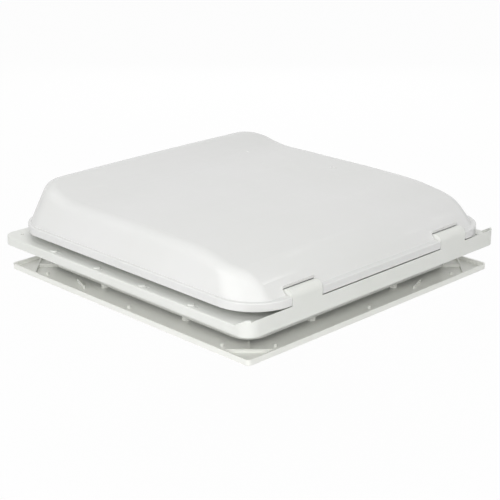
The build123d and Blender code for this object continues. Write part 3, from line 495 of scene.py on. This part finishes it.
net_low, net_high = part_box("screen_net")
net_middle = (net_low + net_high) / 2
net_wide = even_pitches(net_high.x - net_low.x - NET_PITCH)
net_long = even_pitches(net_high.y - net_low.y - NET_PITCH)
weave = woven_yarns()
yarns = {"pitch": NET_PITCH, "yarn": YARN_RADIUS, "middle": net_middle}
quarter = Vector((0.0, 0.0, math.pi / 2))
warp = grow(
    "net_warp", weave, None, "net_mesh", run=net_wide, across=net_long, lift=YARN_RADIUS,
    turn=Vector((0.0, 0.0, 0.0)), **yarns,
)
weft = grow(
    "net_weft", weave, None, "net_mesh", run=net_long, across=net_wide, lift=-YARN_RADIUS,
    turn=quarter, **yarns,
)
for yarn_set in (warp, weft):
    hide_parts("screen_net")
    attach(yarn_set, "flyscreen")

# %% [markdown]
# ## Strips that follow a rounded square
# The lid's seal and the foam under the flange are both cut from a long strip with one
# section. A section drawn once as a small outline, swept along a rounded square, gives
# each of them. The outline's first number points outwards and its second one up.

# %% Sweep an outline round a rounded square
CORNER_POINTS = 16


def swept_strip():
    recipe = Recipe(
        "swept_strip", width=float, depth=float, corner=float, step=float, middle=Vector,
        material=bpy.types.Material,
    )
    size = {"Width": recipe.given("width"), "Height": recipe.given("depth")}
    path = recipe.add("GeometryNodeCurvePrimitiveQuadrilateral", values=size)
    turns = {"Curve": path, "Count": CORNER_POINTS, "Radius": recipe.given("corner")}
    path = recipe.add("GeometryNodeFilletCurve", {"mode": "POLY"}, turns)
    steps = {"Curve": path, "Length": recipe.given("step")}
    path = recipe.add("GeometryNodeResampleCurve", {"mode": "LENGTH"}, steps)
    path = recipe.add("GeometryNodeSetCurveNormal", {"mode": "Z_UP"}, {"Curve": path})
    section = recipe.add("GeometryNodeMeshToCurve", values={"Mesh": recipe.given("Shape")})
    strip = recipe.add("GeometryNodeCurveToMesh", values={"Curve": path, "Profile Curve": section})
    moved = {"Geometry": strip, "Translation": recipe.given("middle")}
    recipe.close(recipe.add("GeometryNodeTransform", values=moved))
    return recipe


def outline(name, points):
    """A closed outline as a mesh of edges.

    The sweep lays a profile's X inwards and its Y down, so both are turned round here.
    """
    mesh = bpy.data.meshes.new(name)
    edges = [(index, (index + 1) % len(points)) for index in range(len(points))]
    mesh.from_pydata([(-x, -y, 0.0) for x, y in points], edges, [])
    return mesh


def arc(centre, radius_x, radius_y, start, end, count):
    """Points on part of an ellipse, angles in degrees."""
    angles = [math.radians(start + (end - start) * step / (count - 1)) for step in range(count)]
    return [(centre[0] + radius_x * math.cos(a), centre[1] + radius_y * math.sin(a)) for a in angles]


strip = swept_strip()

# %% [markdown]
# ## The lid's seal
# A real seal of this kind has a flat base glued under the lid's ring, a soft bulb that
# closes on the collar, and a thin lip to each side of the base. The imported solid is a
# plain band of the same width, so this piece takes its place.

# %% Bulb seal
SEAL_WIDTH = 8.0 * MM
SEAL_CORNER = 26.5 * MM
SEAL_STEP = 4.0 * MM
BULB_POINTS = 15
LIP_THICKNESS = 0.8 * MM
BULB_SHARE = 0.55


def seal_outline(half, height):
    """Bulb down to zero, a lip to each side, and the flat base at the top."""
    bulb = BULB_SHARE * half
    middle = height - LIP_THICKNESS
    side = [(bulb + LIP_THICKNESS / 2, middle), (half, middle), (half, height)]
    bottom = arc((0.0, middle), bulb, middle, -180.0, 0.0, BULB_POINTS)
    return bottom + side + [(-x, y) for x, y in reversed(side)]


seal_low, seal_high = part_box("lid_seal")
seal_run = seal_high.x - seal_low.x - SEAL_WIDTH
seal_section = seal_outline(SEAL_WIDTH / 2, seal_high.z - seal_low.z)
seal = grow(
    "bulb_seal", strip, outline("seal_section", seal_section),
    "seal_rubber", width=seal_run, depth=seal_run, corner=SEAL_CORNER, step=SEAL_STEP,
    middle=Vector((0.0, 0.0, seal_low.z)),
)
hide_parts("lid_seal")
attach(seal, "lid")

# %% [markdown]
# ## The foam strip
# The closed-cell foam in the hollow under the flange swells a little at its sides and
# is notched round the screw tubes on the hinge side. The notches are pressed into the
# swept strip by moving its points, from the screw places in the record.

# %% Foam strip under the flange
FOAM_STEP = 1.4 * MM
FOAM_CORNER = 28.0 * MM
FOAM_ROUND = 1.6 * MM
FOAM_BULGE = 0.5 * MM
ROUND_POINTS = 5
ROUND_END = 20.0
FOAM_INNER = 198.5 * MM
TUBE_CLEAR = 4.15 * MM


def foam_outline(half, height):
    """Rounded block whose sides swell out at half height."""
    corner = half - FOAM_ROUND - FOAM_BULGE
    right = arc((corner, FOAM_ROUND), FOAM_ROUND, FOAM_ROUND, -90.0, -ROUND_END, ROUND_POINTS)
    right += [(half, height / 2)]
    top = (corner, height - FOAM_ROUND)
    right += arc(top, FOAM_ROUND, FOAM_ROUND, ROUND_END, 90.0, ROUND_POINTS)
    return right + [(-x, y) for x, y in reversed(right)]


def screw_tubes(record):
    """Middles of the screw holes on the hinge side."""
    places = []
    for mount in record["mounts"]:
        if mount["name"].startswith("hinge_side_screws"):
            half = mount["dims"]["spacing_y_mm"] * MM / 2
            places += [(mount["pos_m"][0], side * half) for side in (-1, 1)]
    return places


def press_notches(piece, tubes):
    """Move points that lie within a screw tube, or behind it, back to its near side."""
    for vertex in piece.data.vertices:
        for x, y in tubes:
            across = vertex.co.y - y
            if abs(across) < TUBE_CLEAR:
                edge = x - math.sqrt(TUBE_CLEAR ** 2 - across ** 2)
                vertex.co.x = min(vertex.co.x, edge)


foam_low, foam_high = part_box("roof_gasket")
foam_half = (foam_high.x - FOAM_INNER) / 2
foam_run = foam_high.x + FOAM_INNER
foam_section = foam_outline(foam_half, foam_high.z - foam_low.z)
gasket = grow(
    "foam_strip", strip, outline("foam_section", foam_section),
    "foam", width=foam_run, depth=foam_run, corner=FOAM_CORNER, step=FOAM_STEP,
    middle=Vector((0.0, 0.0, foam_low.z)),
)
tubes = screw_tubes(frame["record"])
press_notches(gasket, tubes)
print("foam notched round", len(tubes), "screw tubes")
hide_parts("roof_gasket")
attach(gasket, "vent_frame")

# %% [markdown]
# ## The studio
# A pale floor and a white backdrop, as in a shop picture. The white is only a colour
# that the camera, mirrors and glass see. Every other ray meets a dim grey room, which
# lights the object evenly from all sides.
# The floor keeps the object's shadow: camera rays see part of its lit colour and
# part white, which keeps it close to white where no shadow falls. It lies low enough
# for the flyscreen to hang open, because the vent is held up by its roof frame.

# %% Floor and world
SHELL_WHITE = (1.0, 1.0, 1.0)
FLOOR_SIZE = 12.0
FLOOR_GREY = (0.82, 0.82, 0.82)
FLOOR_WHITE_SHARE = 0.97
ROOM_LIGHT = (0.34, 0.34, 0.335)
SWING_ROOM = 20.0 * MM
screen_low, screen_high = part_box("screen_frame")
floor_height = cad_low.z - (screen_high.x - screen_low.x) - SWING_ROOM


def seen_directly(stage):
    """1 for camera, glossy and transmission rays, which show the backdrop."""
    camera = stage.add("ShaderNodeLightPath", out="Is Camera Ray")
    glossy = stage.add("ShaderNodeLightPath", out="Is Glossy Ray")
    through = stage.add("ShaderNodeLightPath", out="Is Transmission Ray")
    return camera.math("MAXIMUM", glossy).math("MAXIMUM", through)


def floor_paint():
    paint = Finish("floor_paint")
    lit = paint.add("ShaderNodeBsdfDiffuse", values={"Color": FLOOR_GREY})
    white = paint.add("ShaderNodeEmission", values={"Color": SHELL_WHITE, "Strength": 1.0})
    share = seen_directly(paint) * FLOOR_WHITE_SHARE
    mixed = paint.add("ShaderNodeMixShader", values={"Fac": share, 1: lit, 2: white})
    paint.add("ShaderNodeOutputMaterial", values={"Surface": mixed})
    return paint.material


def floor():
    mesh = bpy.data.meshes.new("studio_floor")
    half = FLOOR_SIZE / 2
    corners = [(-half, -half), (half, -half), (half, half), (-half, half)]
    mesh.from_pydata([(x, y, floor_height) for x, y in corners], [], [(0, 1, 2, 3)])
    plane = bpy.data.objects.new("studio_floor", mesh)
    bpy.context.scene.collection.objects.link(plane)
    mesh.materials.append(floor_paint())


def backdrop(ambient):
    studio = bpy.data.worlds.new("studio")
    studio.use_nodes = True
    bpy.context.scene.world = studio
    world = Nodes(studio.node_tree)
    room = world.add("ShaderNodeBackground", values={"Color": ambient, "Strength": 1.0})
    white = world.add("ShaderNodeBackground", values={"Color": SHELL_WHITE, "Strength": 1.0})
    shown = world.add("ShaderNodeMixShader", values={"Fac": seen_directly(world), 1: room, 2: white})
    world.add("ShaderNodeOutputWorld", values={"Surface": shown})


floor()
backdrop(ROOM_LIGHT)
print("floor at", round(floor_height / MM, 1), "mm")

# %% [markdown]
# ## Lamps
# The photograph is lit flatly, so the strongest lamp stands at the camera's bearing and
# one hangs above. A weaker one on the left brightens the long wall there, and one
# behind keeps the far side from going dark. Only the left lamp shows in the glossy
# skin, because mirror images of the others would leave hard pale patches on it.

# %% Soft lamps
def soft_lamp(name, azimuth, elevation, distance, size, power, mirrored=True):
    """A large square lamp that looks at the vent from a bearing, as the camera does."""
    lamp = bpy.data.lights.new(name, "AREA")
    lamp.size = size
    lamp.energy = power
    body = bpy.data.objects.new(name, lamp)
    bpy.context.scene.collection.objects.link(body)
    body.visible_glossy = mirrored
    a = math.radians(azimuth)
    e = math.radians(elevation)
    back = Vector((math.sin(a) * math.cos(e), -math.cos(a) * math.cos(e), math.sin(e)))
    body.location = back * distance
    body.rotation_euler = back.to_track_quat("Z", "Y").to_euler()


soft_lamp("left_lamp", azimuth=-8.0, elevation=30.0, distance=2.4, size=1.5, power=10.0)
soft_lamp(
    "front_lamp", azimuth=45.0, elevation=25.0, distance=2.6, size=1.5, power=34.0, mirrored=False,
)
soft_lamp(
    "back_lamp", azimuth=225.0, elevation=14.0, distance=2.6, size=1.5, power=15.0, mirrored=False,
)
soft_lamp(
    "top_lamp", azimuth=45.0, elevation=84.0, distance=2.4, size=2.0, power=15.0, mirrored=False,
)
print("lamps:", sorted(light.name for light in bpy.data.lights))

# %% [markdown]
# ## The camera
# A long lens from a bearing of 45 degrees and a little above, so the two near sides
# fall away evenly, as in the photograph.

# %% Camera
FRAME_PIXELS = 500
FOCAL_PIXELS = 1350.0
SENSOR_WIDTH = 36.0
CAMERA_AZIMUTH = 45.103
CAMERA_ELEVATION = 19.606
CAMERA_DISTANCE = 1.8575
CAMERA_SIDE = 0.001126
CAMERA_RISE = -0.010275


def camera():
    lens = bpy.data.cameras.new("camera")
    lens.sensor_width = SENSOR_WIDTH
    lens.lens = FOCAL_PIXELS / FRAME_PIXELS * SENSOR_WIDTH
    body = bpy.data.objects.new("camera", lens)
    bpy.context.scene.collection.objects.link(body)
    a = math.radians(CAMERA_AZIMUTH)
    e = math.radians(CAMERA_ELEVATION)
    back = Vector((math.sin(a) * math.cos(e), -math.cos(a) * math.cos(e), math.sin(e)))
    turn = back.to_track_quat("Z", "Y").to_matrix()
    offset = turn @ Vector((CAMERA_SIDE, CAMERA_RISE, CAMERA_DISTANCE))
    body.location = offset
    body.rotation_euler = turn.to_euler()
    bpy.context.scene.camera = body
    return lens


shot = camera()
bpy.context.scene.view_settings.view_transform = "Standard"
print("lens in mm:", round(shot.lens, 1))
